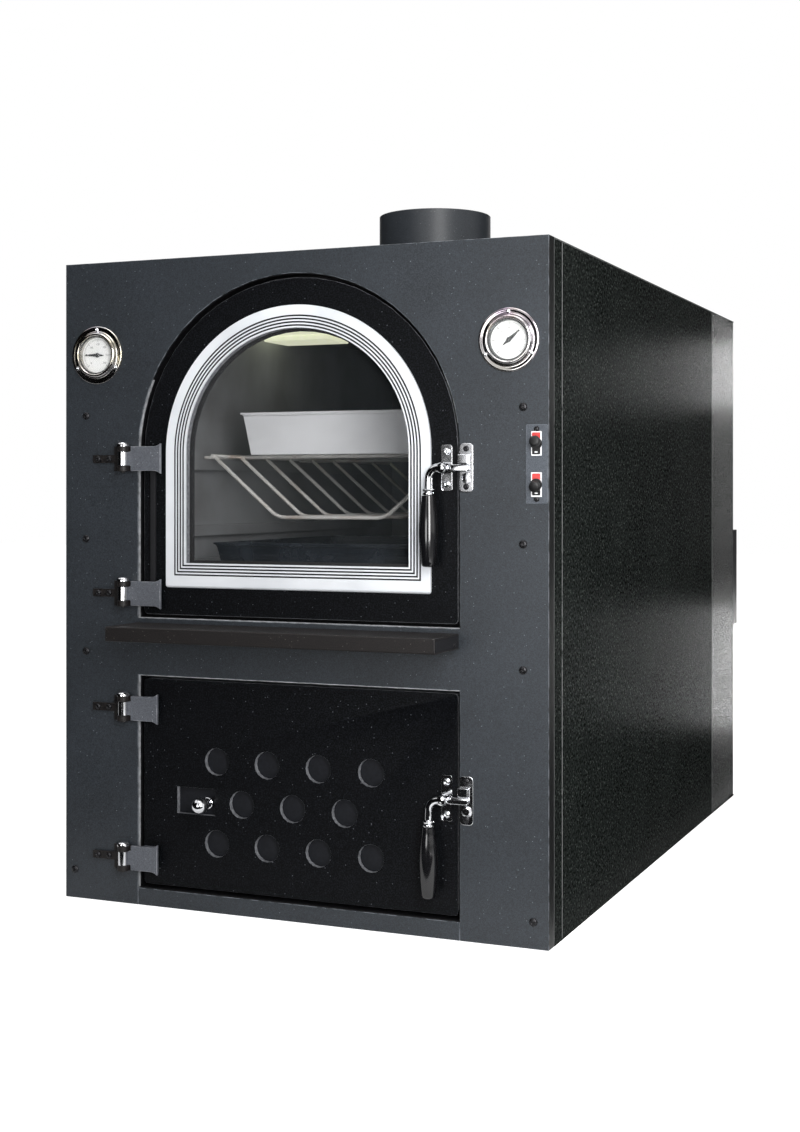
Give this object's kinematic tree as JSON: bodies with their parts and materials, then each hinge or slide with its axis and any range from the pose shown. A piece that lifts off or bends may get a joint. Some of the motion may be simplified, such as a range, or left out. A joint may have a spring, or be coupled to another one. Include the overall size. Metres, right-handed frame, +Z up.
{
  "type": "wood-fired oven",
  "caption": "Free-standing wood-fired oven: sheet-steel cabinet with an arched glazed oven door over a perforated firebox door, thermometers, switches, shelf and flue spigot.",
  "frame": {"origin": "middle of the cabinet's footprint, on the underside of the base sheet", "axes": "+Z up, +Y towards the back of the cabinet, +X to the right as seen from the front; the doors face -Y"},
  "size_m": [0.8, 1.4203, 1.138],
  "materials": {
    "anthracite_paint": "fine speckled satin stove paint",
    "black_enamel": "smooth semi-gloss stove enamel",
    "hammered_black": "hammered gloss paint",
    "grey_casting": "speckled grey paint on a casting",
    "black_iron": "black paint on steel",
    "chrome": "polished plate",
    "bright_steel": "bright satin",
    "raw_steel": "plain mill steel, heat darkened",
    "cast_iron": "as cast",
    "firebrick": "unglazed refractory",
    "mineral_wool": "loose fibre",
    "gasket_rope": "woven rope",
    "glass": "clear heat-proof",
    "black_plastic": "glossy black",
    "white_plastic": "matte white",
    "clear_lamp_glass": "frosted"
  },
  "bodies": {
    "casing": {"front_panel": "anthracite_paint", "bottom_rail": "anthracite_paint", "left_side_panel": "hammered_black", "right_side_panel": "hammered_black", "rear_cover": "hammered_black", "top_panel": "hammered_black", "base_panel": "hammered_black", "smoke_jacket": "raw_steel", "flue_collar": "anthracite_paint", "front_bulkhead": "black_iron", "oven_chamber": "raw_steel", "hearth_slab": "firebrick", "firebrick_lining": "firebrick", "grate_table": "raw_steel", "fire_grate": "cast_iron", "insulation_blanket": "mineral_wool", "shelf": "black_iron", "upper_keeper": "chrome", "lower_keeper": "chrome", "upper_bottom_bracket": "black_iron", "upper_top_bracket": "black_iron", "lower_bottom_bracket": "black_iron", "lower_top_bracket": "black_iron", "left_gauge_case": "chrome", "left_gauge_glass": "glass", "right_gauge_case": "chrome", "right_gauge_glass": "glass", "switch_plate": "anthracite_paint", "lower_switch_body": "white_plastic", "upper_switch_body": "white_plastic", "fan_motor": "raw_steel", "fan_guard": "bright_steel", "oven_lamp": "clear_lamp_glass", "terminal_box": "black_plastic"},
    "upper_door": {"upper_door_frame": "black_enamel", "oven_glass": "glass", "window_trim": "bright_steel", "upper_gasket": "gasket_rope", "glass_retainer": "raw_steel", "upper_strap": "grey_casting", "upper_latch_plate": "chrome"},
    "upper_latch": {"upper_lever": "chrome", "upper_grip": "black_plastic"},
    "lower_door": {"lower_door_plate": "black_enamel", "lower_top_strap": "grey_casting", "lower_bottom_strap": "grey_casting", "lower_latch_plate": "chrome"},
    "lower_latch": {"lower_lever": "chrome", "lower_grip": "black_plastic"},
    "air_slide": {"air_slide": "black_iron", "air_knob": "chrome"},
    "left_needle": {"left_needle": "black_plastic"},
    "right_needle": {"right_needle": "black_plastic"},
    "upper_toggle": {"upper_toggle": "black_plastic"},
    "lower_toggle": {"lower_toggle": "black_plastic"},
    "fan_impeller": {"fan_impeller": "raw_steel"},
    "wire_rack": {"wire_rack": "bright_steel"},
    "roasting_pan": {"roasting_pan": "bright_steel"},
    "floor_tray": {"floor_tray": "black_enamel"},
    "ash_drawer": {"ash_drawer": "raw_steel"}
  },
  "joints": [
    {"name": "upper_door_hinge", "type": "hinge", "parent": "casing", "child": "upper_door", "pos_m": [-0.2865, -0.6525, 0.7], "axis": [0, 0, -1], "range_deg": [0, 110]},
    {"name": "upper_latch_turn", "type": "hinge", "parent": "upper_door", "child": "upper_latch", "pos_m": [0.2445, -0.652, 0.675], "axis": [0, 1, 0], "range_deg": [0, 60]},
    {"name": "lower_door_hinge", "type": "hinge", "parent": "casing", "child": "lower_door", "pos_m": [-0.2865, -0.6525, 0.189], "axis": [0, 0, -1], "range_deg": [0, 110]},
    {"name": "lower_latch_turn", "type": "hinge", "parent": "lower_door", "child": "lower_latch", "pos_m": [0.2445, -0.652, 0.201], "axis": [0, 1, 0], "range_deg": [0, 60]},
    {"name": "air_slide_travel", "type": "slide", "parent": "lower_door", "child": "air_slide", "axis": [1, 0, 0], "range_m": [-0.0428, 0]},
    {"name": "left_needle_turn", "type": "hinge", "parent": "casing", "child": "left_needle", "pos_m": [-0.341, -0.64, 0.855], "axis": [0, 1, 0], "range_deg": [-47, 223]},
    {"name": "right_needle_turn", "type": "hinge", "parent": "casing", "child": "right_needle", "pos_m": [0.341, -0.64, 0.855], "axis": [0, 1, 0], "range_deg": [-185, 85]},
    {"name": "upper_toggle_flip", "type": "hinge", "parent": "casing", "child": "upper_toggle", "pos_m": [0.3825, -0.6391, 0.70825], "axis": [1, 0, 0], "range_deg": [0, 26]},
    {"name": "lower_toggle_flip", "type": "hinge", "parent": "casing", "child": "lower_toggle", "pos_m": [0.3825, -0.6391, 0.65075], "axis": [1, 0, 0], "range_deg": [-26, 0]},
    {"name": "fan_spin", "type": "hinge", "parent": "casing", "child": "fan_impeller", "pos_m": [0, 0.3899, 0.735], "axis": [0, 1, 0], "continuous": true},
    {"name": "rack_slide", "type": "slide", "parent": "casing", "child": "wire_rack", "axis": [0, -1, 0], "range_m": [-0.1, 0.08]},
    {"name": "pan_slide", "type": "slide", "parent": "wire_rack", "child": "roasting_pan", "axis": [0, -1, 0], "range_m": [-0.05, 0.06]},
    {"name": "tray_slide", "type": "slide", "parent": "casing", "child": "floor_tray", "axis": [0, -1, 0], "range_m": [-0.3, 0.025]},
    {"name": "ash_drawer_slide", "type": "slide", "parent": "casing", "child": "ash_drawer", "axis": [0, -1, 0], "range_m": [0, 0.055]}
  ]
}
